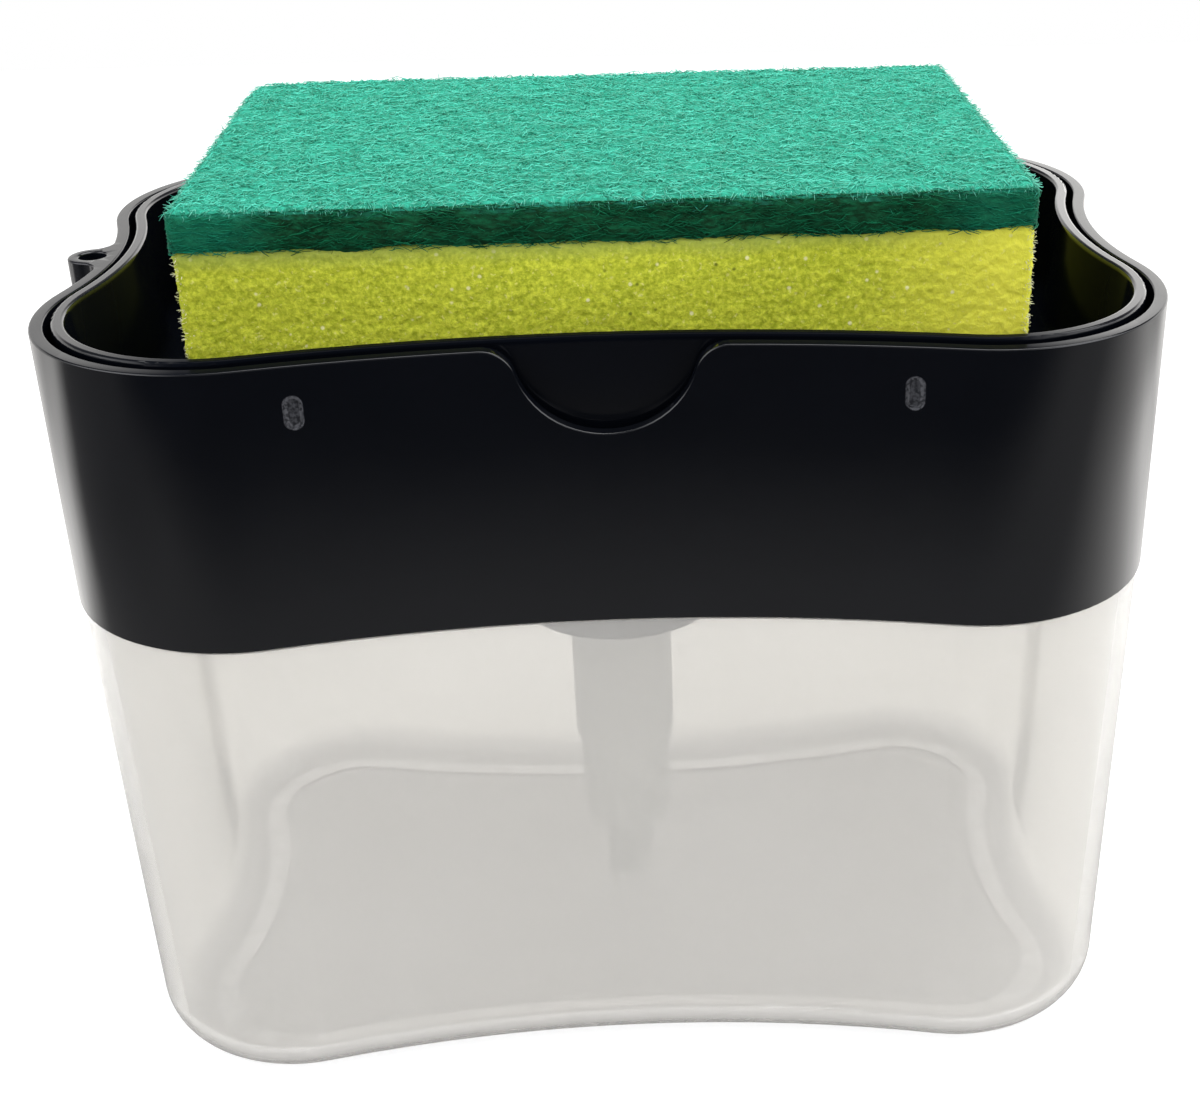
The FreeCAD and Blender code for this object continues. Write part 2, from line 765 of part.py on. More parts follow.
os.makedirs("parts", exist_ok=True)
for name, make in nodes.items():
    shape = make()
    if len(shape.Solids) == 1:
        shape = shape.Solids[0]
    shape.exportStep("parts/" + name + ".step")
    box = shape.BoundBox
    print(name, "solids", len(shape.Solids), "valid", shape.isValid(), "volume", round(shape.Volume, 1),
          "z", round(box.ZMin, 2), "to", round(box.ZMax, 2))
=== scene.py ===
import json
import math
import bmesh
import bpy
import numpy as np
from mathutils import Matrix, Vector, noise


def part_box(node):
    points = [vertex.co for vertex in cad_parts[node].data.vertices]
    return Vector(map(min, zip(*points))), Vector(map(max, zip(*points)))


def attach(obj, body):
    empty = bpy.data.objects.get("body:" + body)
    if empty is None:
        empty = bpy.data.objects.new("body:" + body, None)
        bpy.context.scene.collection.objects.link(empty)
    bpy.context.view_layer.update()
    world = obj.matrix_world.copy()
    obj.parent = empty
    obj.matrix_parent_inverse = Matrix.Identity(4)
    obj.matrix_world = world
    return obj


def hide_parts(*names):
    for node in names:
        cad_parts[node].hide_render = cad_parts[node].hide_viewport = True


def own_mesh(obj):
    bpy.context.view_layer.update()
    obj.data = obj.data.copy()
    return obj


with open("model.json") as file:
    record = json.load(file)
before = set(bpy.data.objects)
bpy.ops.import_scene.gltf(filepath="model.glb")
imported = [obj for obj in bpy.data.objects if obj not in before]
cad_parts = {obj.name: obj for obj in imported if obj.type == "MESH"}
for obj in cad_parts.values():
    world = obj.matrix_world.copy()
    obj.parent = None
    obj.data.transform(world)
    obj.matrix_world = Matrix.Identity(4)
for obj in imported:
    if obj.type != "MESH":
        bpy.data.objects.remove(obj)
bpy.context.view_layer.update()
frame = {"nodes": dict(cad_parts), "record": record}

# One millimetre, in the scene's metres
MM = 0.001

# Camera, which stands where the photograph was taken
photo_width = 1200
photo_height = 1106
focal_pixels = 1806.4
centre_pixel_x = 711.07
centre_pixel_y = 541.74
sensor_width = 36.0
nearest_seen = 0.01
camera_place = Vector((3.36, -226.5, 172.6)) * MM
camera_yaw = 0.043
camera_pitch = 0.469
camera_roll = -0.015

# Sponge, which is turned a little in its tray and has lost one corner to wear
sponge_length = 96.6 * MM
sponge_width = 62.8 * MM
sponge_turn = math.radians(0.8)
worn_corner = 5.0 * MM
least_away = 1e-9

# Foam: its upright corners, the grid of its skin, its cut cells, and how its sides swell and fray
foam_corner = 1.0 * MM
foam_step = 0.3 * MM
cell_size = 0.95 * MM
cell_depth = 0.2 * MM
cell_steepness = 1.5
grain_size = 0.38 * MM
grain_depth = 0.12 * MM
swell_size = 13 * MM
swell_depth = 0.22 * MM
ragged_size = 0.55 * MM
ragged_depth = 0.28 * MM
ragged_shift = Vector((7, 3, 1))
tucked_rows = 2
tuck_depth = 0.35 * MM

# Pad: how far it stands over the foam, how deep its felt lies under the fibres, and the lumps of
# its skin and lower edge
pad_overhang = 0.15 * MM
pad_sink = 0.25 * MM
pad_edge = 1.2 * MM
pad_step = 0.6 * MM
weld_share = 0.05
pad_length = sponge_length + 2 * pad_overhang
pad_width = sponge_width + 2 * pad_overhang
lump_size = 4.5 * MM
lump_depth = 0.2 * MM
tuft_size = 1.1 * MM
tuft_depth = 0.14 * MM
droop_height = 2.2 * MM
droop_mean = 0.35 * MM
droop_waves = ((0.75 * MM, 6.5 * MM), (0.35 * MM, 2.2 * MM))

# Strands: how many there are of each kind, and the seeds that scatter them
top_count = 7400
side_count = 7600
fringe_count = 2600
fuzz_count = 900
top_seed = 11
side_seed = 23
fuzz_seed = 37
fringe_seed = 41

# A strand's ends, which grow thin
taper_margin = 0.25
taper_power = 0.4
steep_way = 0.9

# Rounds that the mould leaves on the collar's rim and finger notch
rim_round = 0.24 * MM
rim_steps = 3
rim_slack = 0.02 * MM
weld_reach = 0.001 * MM
least_turn = math.radians(50)
smooth_below = math.radians(35)
notch_reach = 16 * MM
notch_from = 30 * MM
notch_depth = 11.3 * MM

# The part of a rim that the sponge's front shades, where a duller gloss paints that shade
shade_reach = 60 * MM
shade_fade = 14 * MM
shade_from = 25 * MM
shade_turn = 0.35
shade_lean = 0.3

# Polish of a rim and of the outside below it: from and to which depth under the rim, and how far
# from the axis a wall has to face for it
rim_polish = (0.7 * MM, 0.3 * MM)
outside_polish = (0.9 * MM, 0.6 * MM)
outward_reach = (0.5 * MM, 2 * MM)

# Oval marks on the collar
mark_reach = 34.3 * MM
mark_level = 96.3 * MM
mark_half_width = 0.8 * MM
mark_straight = 0.95 * MM
mark_line = (0.14 * MM, 0.34 * MM)
mark_inner_fade = 0.1 * MM
mark_inner_share = 0.45
mark_least_y = 40.2 * MM

# Refraction and gloss of the plastics
plastic_ior = 1.49
tank_ior = 1.34
open_gloss = 0.5
tray_gloss = 0.018
shaded_gloss = 0.006
polish_roughness = 0.14

# Colours in linear light: one shade, or a darker and a lighter one
black_shades = ((0.0018, 0.0024, 0.0042), (0.0046, 0.0055, 0.0085))
mark_grey = (0.12, 0.122, 0.135)
dust_blue = 1.06
tank_shades = ((0.927, 0.909, 0.872), (0.947, 0.930, 0.896))
tank_speck = (0.55, 0.54, 0.53)
# Painted shade on the tank's level parts
tank_floor_painted_shade = (0.67, 0.655, 0.64)
tank_milk = (0.66, 0.62, 0.48)
natural_shades = ((0.655, 0.665, 0.66), (0.73, 0.73, 0.725))
rubber_shades = ((0.50, 0.50, 0.49), (0.60, 0.60, 0.59))
steel_shades = ((0.55, 0.55, 0.56), (0.68, 0.68, 0.69))
foam_shades = ((0.40, 0.465, 0.017), (0.75, 0.79, 0.065))
foam_blotch = (0.66, 0.70, 0.043)
# Painted glint on a few of the foam's cell walls
foam_glint = (0.90, 0.88, 0.28)
# Painted glint in a few of the foam's cells
foam_cell_glint = (0.95, 0.92, 0.45)
# Painted shade in the foam's pits
foam_pit_shade = (0.22, 0.26, 0.015)
# The pad's green fibres on the foam, and painted shade under the pad's edge
foam_pad_fibres_and_shade = (0.38, 0.46, 0.09)
# Painted light on the foam's right end
foam_painted_light_end = (0.95, 0.92, 0.09)
felt_top_shades = ((0.006, 0.16, 0.095), (0.03, 0.38, 0.26))
# Painted shade on the felt's cut sides
felt_side_painted_shade = ((0.001, 0.033, 0.010), (0.003, 0.11, 0.042))
# Painted light on the felt's sides at the pad's ends
felt_painted_light_end = (0.008, 0.24, 0.13)
top_strand_shades = ((0.009, 0.25, 0.15), (0.056, 0.55, 0.40))
# Painted shade on the strands along the pad's sides
side_strand_painted_shade = ((0.001, 0.030, 0.010), (0.005, 0.165, 0.07))
# Painted light on the side strands at the pad's ends
side_strand_painted_light = (0.010, 0.28, 0.17)
fringe_shades = ((0.02, 0.27, 0.17), (0.17, 0.62, 0.47))
fuzz_shades = ((0.62, 0.62, 0.22), (0.94, 0.93, 0.72))
pure_white = (1, 1, 1)
warm_white = (1, 0.985, 0.965)
room_white = (0.99, 1.0, 1.03)
table_shadow = (0.4, 0.4, 0.4)
# Painted shade: bounced light from the table is greyer in front
table_painted_shade_greys = ((0.35, 0.35, 0.35), (0.85, 0.85, 0.85))

# Studio: a white table, a white backdrop behind it, and a soft room that is dim in front and bright
# at its sides
table_side = 0.6
table_glow = 0.8
softbox_size = 0.55
softbox_power = 4.6
softbox_place = Vector((0.10, 0.12, 0.62))
softbox_target = Vector((0, 0, 0.08))
backdrop_fade = (0.25, 0.37)
back_low = 0.9
back_high = 0.15
front_low = 0.3
front_middle = 0.35
front_left = 3.2
front_right = 3.6
below = 0.03
turns_back = (-0.15, 0.3)

# The table's brightness in reflections: dim in front, bright beside the object and behind it
mirror_dim = 0.04
mirror_front = 0.40
mirror_left = 1.5
mirror_right = 1.9

# The backdrop's brightness in reflections, and the height at which it ends
back_left = 1.15
back_right = 2.1
mirror_fade = (0.33, 0.46)


def make_camera():
    """The camera, with the photograph's place, lens and shift."""
    cos_pitch = math.cos(camera_pitch)
    forward = Vector((math.sin(camera_yaw) * cos_pitch, math.cos(camera_yaw) * cos_pitch,
                      -math.sin(camera_pitch)))
    level = Vector((math.cos(camera_yaw), -math.sin(camera_yaw), 0))
    upright = level.cross(forward)
    right = level * math.cos(camera_roll) + upright * math.sin(camera_roll)
    up = upright * math.cos(camera_roll) - level * math.sin(camera_roll)
    data = bpy.data.cameras.new("camera")
    data.sensor_width = sensor_width
    data.lens = focal_pixels / photo_width * sensor_width
    data.shift_x = (photo_width / 2 - centre_pixel_x) / photo_width
    data.shift_y = (centre_pixel_y - photo_height / 2) / photo_width
    data.clip_start = nearest_seen
    camera = bpy.data.objects.new("camera", data)
    turn = Matrix((right, up, -forward)).transposed().to_4x4()
    camera.matrix_world = Matrix.Translation(camera_place) @ turn
    bpy.context.scene.collection.objects.link(camera)
    bpy.context.scene.camera = camera


class Shading:
    """The nodes of a material or a world, with short ways to add and join them."""

    def __init__(self, owner, output="ShaderNodeOutputMaterial", coordinates="Object"):
        self.owner = owner
        owner.use_nodes = True
        self.tree = owner.node_tree
        self.tree.nodes.clear()
        self.output = self.add(output)
        self.coordinates = self.add("ShaderNodeTexCoord").outputs[coordinates]

    def add(self, kind, **settings):
        node = self.tree.nodes.new(kind)
        for name, value in settings.items():
            setattr(node, name, value)
        return node

    def put(self, value, socket):
        """Gives a socket a value, a colour of three numbers, or another node's output."""
        if isinstance(value, bpy.types.NodeSocket):
            self.tree.links.new(value, socket)
        elif socket.type == "RGBA":
            socket.default_value = (*value, 1.0)
        else:
            socket.default_value = value

    def feed(self, node, **values):
        """Fills a node's sockets by their names, where an underscore stands for a space."""
        for name, value in values.items():
            self.put(value, node.inputs[name.replace("_", " ")])
        return node

    def shader(self, kind, **values):
        """The output of a shader of this kind."""
        return self.feed(self.add("ShaderNode" + kind), **values).outputs[0]

    def joined(self, kind, *inputs):
        """The output of a shader that adds or mixes others, with its inputs in their order."""
        node = self.add("ShaderNode" + kind)
        for socket, value in zip(node.inputs, inputs):
            self.put(value, socket)
        return node.outputs[0]

    def surface(self, shader):
        """Ends the nodes with this shader, and gives back the material or world."""
        self.put(shader, self.output.inputs["Surface"])
        return self.owner

    def principled(self, **values):
        return self.surface(self.shader("BsdfPrincipled", **values))

    def noise(self, scale, detail=2.0, roughness=0.5, distortion=0.0, vector=None):
        node = self.add("ShaderNodeTexNoise")
        self.feed(node, Vector=vector or self.coordinates, Scale=scale, Detail=detail,
                  Roughness=roughness, Distortion=distortion)
        return node.outputs["Fac"]

    def cells(self, scale, output):
        node = self.feed(self.add("ShaderNodeTexVoronoi"), Vector=self.coordinates, Scale=scale)
        return node.outputs[output]

    def specks(self, scale, core, edge, pick_from, pick_to, channel=None):
        """A share that is 1 in the middle of a few cells, which their random colour picks."""
        near = self.cells(scale, "Distance")
        pick = self.cells(scale, "Color")
        if channel is not None:
            pick = self.feed(self.add("ShaderNodeSeparateColor"), Color=pick).outputs[channel]
        return self.math("MULTIPLY", self.ranged(near, core, edge, 1.0, 0.0),
                         self.ranged(pick, pick_from, pick_to))

    def stretched(self, x, y, z):
        """The object's coordinates, scaled by a different amount each way."""
        node = self.feed(self.add("ShaderNodeMapping"), Vector=self.coordinates, Scale=(x, y, z))
        return node.outputs["Vector"]

    def parts(self, vector):
        """The x, y and z of a vector."""
        node = self.feed(self.add("ShaderNodeSeparateXYZ"), Vector=vector)
        return [node.outputs[name] for name in "XYZ"]

    def geometry(self, output):
        return self.add("ShaderNodeNewGeometry").outputs[output]

    def ranged(self, value, low, high, to_low=0.0, to_high=1.0, ends="LINEAR"):
        """Goes from to_low to to_high as the value goes from low to high, and no farther."""
        node = self.add("ShaderNodeMapRange", interpolation_type=ends)
        names = ("Value", "From Min", "From Max", "To Min", "To Max")
        for name, number in zip(names, (value, low, high, to_low, to_high)):
            self.put(number, node.inputs[name])
        return node.outputs["Result"]

    def eased(self, *numbers):
        """The same as ranged, with soft ends."""
        return self.ranged(*numbers, ends="SMOOTHSTEP")

    def math(self, operation, first, second):
        node = self.add("ShaderNodeMath", operation=operation)
        self.put(first, node.inputs[0])
        self.put(second, node.inputs[1])
        return node.outputs["Value"]

    def absolute(self, value):
        return self.math("ABSOLUTE", value, 0.0)

    def mixed(self, share, first, second, blend="MIX"):
        """A colour that goes from the first to the second as share goes from 0 to 1."""
        node = self.add("ShaderNodeMix", data_type="RGBA", blend_type=blend)
        sockets = [socket for socket in node.inputs if socket.enabled]
        for socket, value in zip(sockets, (share, first, second)):
            self.put(value, socket)
        return [socket for socket in node.outputs if socket.enabled][0]

    def bump(self, height, strength, distance):
        node = self.add("ShaderNodeBump")
        self.feed(node, Height=height, Strength=strength, Distance=distance)
        return node.outputs["Normal"]

    def rays(self):
        """Two shares: the rays that see directly or through the tank, and purely glossy ones."""
        path = self.add("ShaderNodeLightPath")
        through = path.outputs["Is Transmission Ray"]
        seen = self.math("MAXIMUM", path.outputs["Is Camera Ray"], through)
        glossy = self.math("SUBTRACT", path.outputs["Is Glossy Ray"], through)
        return seen, self.math("MAXIMUM", glossy, 0.0)


def new_material(name):
    return Shading(bpy.data.materials.new(name))


def oval_marks(s):
    """A speckled ring round each oval dimple, as a share from 0 to 1."""
    x, y, z = s.parts(s.coordinates)
    aside = s.math("SUBTRACT", s.absolute(x), mark_reach)
    above = s.math("SUBTRACT", s.absolute(s.math("SUBTRACT", z, mark_level)), mark_straight)
    above = s.math("MAXIMUM", above, 0.0)
    squares = s.math("ADD", s.math("POWER", aside, 2.0), s.math("POWER", above, 2.0))
    away = s.math("POWER", squares, 0.5)
    off = s.absolute(s.math("SUBTRACT", away, mark_half_width))
    ring = s.ranged(off, *mark_line, 1.0, 0.0)
    inner = s.ranged(away, mark_half_width, mark_half_width + mark_inner_fade,
                     mark_inner_share, 0.0)
    shape = s.math("MAXIMUM", ring, inner)
    outside = s.math("GREATER_THAN", s.absolute(y), mark_least_y)
    speckle = s.ranged(s.noise(2600.0), 0.38, 0.58, 0.3, 1.0)
    return s.math("MULTIPLY", s.math("MULTIPLY", shape, outside), speckle)


def polished(s, rim_level):
    """A share that is high on the rim, except under the sponge's front, and on the outside below
    the rim."""
    x, y, z = s.parts(s.coordinates)
    shaded = s.math("MULTIPLY", s.math("LESS_THAN", y, -shade_from),
                    s.ranged(s.absolute(x), shade_reach - shade_fade, shade_reach, 1.0, 0.0))
    rim_from, rim_to = (rim_level - depth for depth in rim_polish)
    rim = s.math("MULTIPLY", s.ranged(z, rim_from, rim_to), s.math("SUBTRACT", 1.0, shaded))
    facing = s.add("ShaderNodeVectorMath", operation="DOT_PRODUCT")
    s.put(s.geometry("True Normal"), facing.inputs[0])
    from_axis = s.feed(s.add("ShaderNodeCombineXYZ"), X=x, Y=y)
    s.put(from_axis.outputs["Vector"], facing.inputs[1])
    outside_from, outside_to = (rim_level - depth for depth in outside_polish)
    outside = s.math("MULTIPLY", s.ranged(facing.outputs["Value"], *outward_reach),
                     s.ranged(z, outside_from, outside_to, 1.0, 0.0))
    return s.math("MAXIMUM", rim, outside)


def black_plastic(name, gloss, rim_level=None):
    """Black moulded plastic with handling haze, smudges, dust and the worn rings of its oval marks.
    Where rim_level is given, its rim at that level and its outside are polished."""
    s = new_material(name)
    haze = s.noise(42.0, detail=4.0, roughness=0.6)
    smudge = s.noise(16.0, detail=3.0, distortion=0.6)
    rough = s.math("ADD", s.ranged(haze, 0.35, 0.7, 0.12, 0.17),
                   s.ranged(smudge, 0.5, 0.75, 0.0, 0.06))
    base = s.mixed(s.ranged(smudge, 0.45, 0.75), *black_shades)
    for scale, pick_from, brightness in ((240.0, 0.90, 0.34), (520.0, 0.955, 0.22)):
        speck = s.specks(scale, 0.05, 0.11, pick_from, pick_from + 0.02)
        base = s.mixed(speck, base, (brightness, brightness, brightness * dust_blue))
    marks = oval_marks(s)
    base = s.mixed(marks, base, mark_grey)
    rough = s.math("ADD", rough, s.math("MULTIPLY", marks, 0.25))
    coat = {}
    if rim_level is not None:
        coat = {"Coat_Weight": polished(s, rim_level), "Coat_Roughness": polish_roughness}
    return s.principled(Base_Color=base, Roughness=rough, IOR=plastic_ior,
                        Normal=s.bump(s.noise(140.0), 0.05, 0.0003),
                        Specular_IOR_Level=gloss, **coat)


def tank_plastic():
    """Milky translucent plastic: part of the light goes straight through, the rest is scattered.
    Its level parts are duller than its walls, and darker as painted shade."""
    s = new_material("tank_plastic")
    base = s.mixed(s.ranged(s.noise(30.0, detail=3.0), 0.3, 0.7), *tank_shades)
    base = s.mixed(s.specks(150.0, 0.025, 0.06, 0.93, 0.95), base, tank_speck)
    level = s.absolute(s.parts(s.geometry("True Normal"))[2])
    # Painted shade: the level parts are darker, for the shadowed table seen through the floor
    base = s.mixed(s.ranged(level, 0.25, 0.85), base, tank_floor_painted_shade)
    scuffs = s.noise(420.0, detail=3.0, vector=s.stretched(1.0, 1.0, 0.12))
    rough = s.math("ADD", s.ranged(scuffs, 0.45, 0.8, 0.012, 0.03),
                   s.ranged(level, 0.1, 0.6, 0.0, 0.27))
    milk = s.shader("VolumeAbsorption", Color=tank_milk, Density=15.0)
    s.put(milk, s.output.inputs["Volume"])
    return s.principled(Base_Color=base, Roughness=rough, IOR=tank_ior,
                        Normal=s.bump(s.noise(70.0), 0.02, 0.0003), Transmission_Weight=0.7)


def natural_plastic():
    """Off-white unpainted plastic of the pump."""
    s = new_material("natural_plastic")
    cloud = s.noise(120.0, detail=3.0)
    return s.principled(Base_Color=s.mixed(cloud, *natural_shades), IOR=plastic_ior,
                        Roughness=s.ranged(cloud, 0.3, 0.7, 0.3, 0.4),
                        Normal=s.bump(s.noise(500.0), 0.05, 0.0002),
                        Subsurface_Weight=0.2, Subsurface_Scale=1.0,
                        Subsurface_Radius=(0.002, 0.002, 0.002))


def seal_rubber():
    """Pale soft rubber with a dull skin."""
    s = new_material("seal_rubber")
    grain = s.noise(900.0, detail=3.0)
    return s.principled(Base_Color=s.mixed(grain, *rubber_shades),
                        Roughness=s.ranged(grain, 0.3, 0.7, 0.55, 0.7),
                        Normal=s.bump(grain, 0.1, 0.0001))


def steel(name, low_rough, high_rough):
    """Bright steel with fine drawing marks."""
    s = new_material(name)
    marks = s.noise(1500.0, vector=s.stretched(1.0, 1.0, 8.0))
    return s.principled(Base_Color=s.mixed(marks, *steel_shades), Metallic=1.0,
                        Roughness=s.ranged(marks, 0.3, 0.7, low_rough, high_rough))


def foam_yellow():
    """Open foam: olive yellow, mottled by its cells, with painted glints on a few cell walls and
    painted shade in its pits. It is greener where it meets the pad, for the pad's fibres, and
    darker there as painted shade, and paler towards its right end as painted light."""
    s = new_material("foam_yellow")
    x, _, z = s.parts(s.coordinates)
    mottle = s.noise(1700.0, detail=3.0, roughness=0.7)
    base = s.mixed(s.ranged(mottle, 0.36, 0.64), *foam_shades)
    base = s.mixed(s.ranged(s.noise(240.0), 0.35, 0.7, 0.0, 0.2), base, foam_blotch)
    # Painted glints on cell walls: bright flecks, and bright specks in a few cells
    glint_flecks = s.ranged(s.noise(1900.0, detail=1.0, distortion=0.4), 0.66, 0.72, 0.0, 0.5)
    base = s.mixed(glint_flecks, base, foam_glint)
    base = s.mixed(s.specks(600.0, 0.09, 0.18, 0.60, 0.64, channel=0), base, foam_cell_glint)
    # Painted shade in the foam's pits
    base = s.mixed(s.specks(800.0, 0.1, 0.22, 0.93, 0.96, channel=1), base, foam_pit_shade)
    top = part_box("sponge_foam")[1].z
    # Greener for the pad's fibres, and darker as painted shade under the pad
    wavy = s.math("ADD", z, s.math("MULTIPLY", s.noise(140.0), 1.6 * MM))
    pad_shade_share = s.ranged(wavy, top - 1.6 * MM, top + 0.4 * MM, 0.0, 0.75)
    base = s.mixed(pad_shade_share, base, foam_pad_fibres_and_shade)
    # Painted light: the front is paler towards the right end
    endwise = s.absolute(s.parts(s.geometry("True Normal"))[0])
    painted_light_end = s.math("MULTIPLY", s.ranged(x, 28 * MM, 46 * MM, 0.0, 0.95),
                      s.ranged(endwise, 0.7, 0.95, 1.0, 0.15))
    base = s.mixed(painted_light_end, base, foam_painted_light_end, blend="LIGHTEN")
    return s.principled(Base_Color=base, Roughness=0.75, Normal=s.bump(mottle, 0.55, 0.0004),
                        Specular_IOR_Level=0.25, Subsurface_Weight=0.3, Subsurface_Scale=1.0,
                        Subsurface_Radius=(0.002, 0.0019, 0.0006))


def painted_light_ends(s):
    """A share that is high at the pad's two ends, where the cut side is painted lighter as painted
    light.
    """
    x = s.parts(s.coordinates)[0]
    return s.math("ADD", s.ranged(x, -42 * MM, -35 * MM, 0.5, 0.0),
                  s.ranged(x, 37 * MM, 43 * MM, 0.0, 0.35))


def pad_green():
    """The pad under its loose fibres: teal on top, with painted shade on its cut sides."""
    s = new_material("pad_green")
    lit_top_share = s.ranged(s.parts(s.geometry("True Normal"))[2], 0.2, 0.8)
    fine = s.noise(900.0, detail=3.0, roughness=0.7, distortion=1.2)
    top = s.mixed(s.ranged(fine, 0.36, 0.66), *felt_top_shades)
    layers = s.noise(1300.0, detail=3.0, roughness=0.7, vector=s.stretched(0.5, 0.5, 1.5))
    # Painted shade: the cut sides are darker than the top
    side = s.mixed(s.ranged(layers, 0.4, 0.66), *felt_side_painted_shade)
    # Painted light: the sides are lighter at the pad's ends
    side = s.mixed(painted_light_ends(s), side, felt_painted_light_end)
    return s.principled(Base_Color=s.mixed(lit_top_share, side, top), Roughness=0.85,
                        Normal=s.bump(fine, 0.6, 0.0004), Specular_IOR_Level=0.2)


def fibre(name, shades, gloss, painted_light_colour=None):
    """Plastic fibre: each strand has a shade between two. A third colour, where given, is painted
    light at the pad's ends.
    """
    s = new_material(name)
    base = s.mixed(s.geometry("Random Per Island"), *shades)
    if painted_light_colour is not None:
        base = s.mixed(painted_light_ends(s), base, painted_light_colour)
    return s.principled(Base_Color=base, Roughness=0.45, Specular_IOR_Level=gloss)


def link(name, mesh, material, body):
    """A piece of the object with its material, body and material slot."""
    piece = bpy.data.objects.new(name, mesh)
    bpy.context.scene.collection.objects.link(piece)
    mesh.materials.append(material)
    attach(piece, body)
    return piece


def layer_heights(node):
    """The lowest and highest level of a sponge layer."""
    low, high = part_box(node)
    return low.z, high.z


def layer_centre(node):
    """The centre of a sponge layer in plan."""
    low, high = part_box(node)
    return (low.x + high.x) / 2, (low.y + high.y) / 2


def rounded_block(length, width, bottom, top, radius, step):
    """A block with rounded edges, on an even grid, centred in plan."""
    half = Vector((length / 2, width / 2, (top - bottom) / 2))
    bm = bmesh.new()
    for axis in range(3):
        across, along = (axis + 1) % 3, (axis + 2) % 3
        columns = max(2, round(2 * half[across] / step))
        rows = max(2, round(2 * half[along] / step))
        for sign in (-1, 1):
            grid = []
            for row in range(rows + 1):
                line = []
                for column in range(columns + 1):
                    point = Vector((0, 0, 0))
                    point[axis] = sign * half[axis]
                    point[across] = (2 * column / columns - 1) * half[across]
                    point[along] = (2 * row / rows - 1) * half[along]
                    inner = Vector([max(-size + radius, min(size - radius, value))
                                    for size, value in zip(half, point)])
                    outward = point - inner
                    line.append(bm.verts.new(inner + outward.normalized() * radius))
                grid.append(line)
            for row in range(rows):
                for column in range(columns):
                    corners = [grid[row][column], grid[row][column + 1],
                               grid[row + 1][column + 1], grid[row + 1][column]]
                    bm.faces.new(corners if sign > 0 else corners[::-1])
    bmesh.ops.remove_doubles(bm, verts=bm.verts, dist=step * weld_share)
    bmesh.ops.translate(bm, verts=bm.verts, vec=(0, 0, (top + bottom) / 2))
    return bm


def finish_block(bm, name, node):
    """Turns and moves a block to its sponge layer's place, and makes its mesh."""
    turn = Matrix.Rotation(sponge_turn, 3, "Z")
    bmesh.ops.rotate(bm, verts=bm.verts, cent=(0, 0, 0), matrix=turn)
    bmesh.ops.translate(bm, verts=bm.verts, vec=(*layer_centre(node), 0))
    mesh = bpy.data.meshes.new(name)
    bm.to_mesh(mesh)
    bm.free()
    mesh.shade_smooth()
    return mesh


def worn(x, y):
    """Moves points of the sponge's square corner at the back left onto the round that wear left."""
    off_x = np.minimum(x + sponge_length / 2 - worn_corner, 0)
    off_y = np.maximum(y - sponge_width / 2 + worn_corner, 0)
    away = np.maximum(np.hypot(off_x, off_y), least_away)
    share = np.maximum(-off_x, off_y) / away - 1
    share = np.where((off_x < 0) & (off_y > 0), share, 0.0)
    return x + off_x * share, y + off_y * share


def wall_path(length, width, corner, step):
    """Points and outward ways round a block with round upright corners, step apart."""
    points, ways = [], []
    starts = [(-1, -1, -90), (1, -1, 0), (1, 1, 90), (-1, 1, 180)]
    for index, (side_x, side_y, turn) in enumerate(starts):
        centre = Vector((side_x * (length / 2 - corner), side_y * (width / 2 - corner)))
        bends = max(2, round(corner * math.pi / 2 / step))
        for bend in range(bends):
            angle = math.radians(turn - 90 + 90 * (bend + 0.5) / bends)
            way = Vector((math.cos(angle), math.sin(angle)))
            points.append(centre + way * corner)
            ways.append(way)
        straight = (length if index % 2 == 0 else width) - 2 * corner
        angle = math.radians(turn)
        way = Vector((math.cos(angle), math.sin(angle)))
        onward = Vector((-way.y, way.x))
        count = round(straight / step)
        for along in range(count):
            points.append(centre + way * corner + onward * straight * (along + 0.5) / count)
            ways.append(way)
    return points, ways


def foam_relief(place, way):
    """How far the foam's skin stands out: its cut cells, grain, swell and frayed corners."""
    near, _ = noise.voronoi(place / cell_size)
    pit = cell_depth * (1 - min(1.0, near[0] * cell_steepness))
    rough = grain_depth * noise.noise(place / grain_size)
    swell = swell_depth * noise.noise(place / swell_size)
    at_corner = min(1.0, abs(way.x * way.y) * 4)
    ragged = at_corner * ragged_depth * noise.noise(place / ragged_size + ragged_shift)
    return swell + rough + ragged - pit


def make_foam():
    """The foam block, with small craters of its cut cells and ragged upright edges."""
    bottom, top = layer_heights("sponge_foam")
    points, ways = wall_path(sponge_length, sponge_width, foam_corner, foam_step)
    rows = round((top - bottom) / foam_step)
    around = len(points)
    verts = []
    for row in range(rows + 1):
        z = bottom + (top - bottom) * row / rows
        edge = min(row, rows - row)
        tuck = tuck_depth * (1 - edge / tucked_rows) ** 2 if edge < tucked_rows else 0.0
        for point, way in zip(points, ways):
            out = foam_relief(Vector((point.x, point.y, z)), way) - tuck
            verts.append((point.x + way.x * out, point.y + way.y * out, z))
    verts = np.array(verts)
    verts[:, 0], verts[:, 1] = worn(verts[:, 0], verts[:, 1])
    faces = []
    for row in range(rows):
        for index in range(around):
            after = (index + 1) % around
            faces.append((row * around + index, row * around + after,
                          (row + 1) * around + after, (row + 1) * around + index))
    faces.append(tuple(range(around - 1, -1, -1)))
    faces.append(tuple(rows * around + index for index in range(around)))
    raw = bpy.data.meshes.new("foam_cells")
    raw.from_pydata(verts.tolist(), [], faces)
    bm = bmesh.new()
    bm.from_mesh(raw)
    bpy.data.meshes.remove(raw)
    mesh = finish_block(bm, "foam_block", "sponge_foam")
    piece = link("foam_block", mesh, foam_yellow(), "sponge")
    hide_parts("sponge_foam")


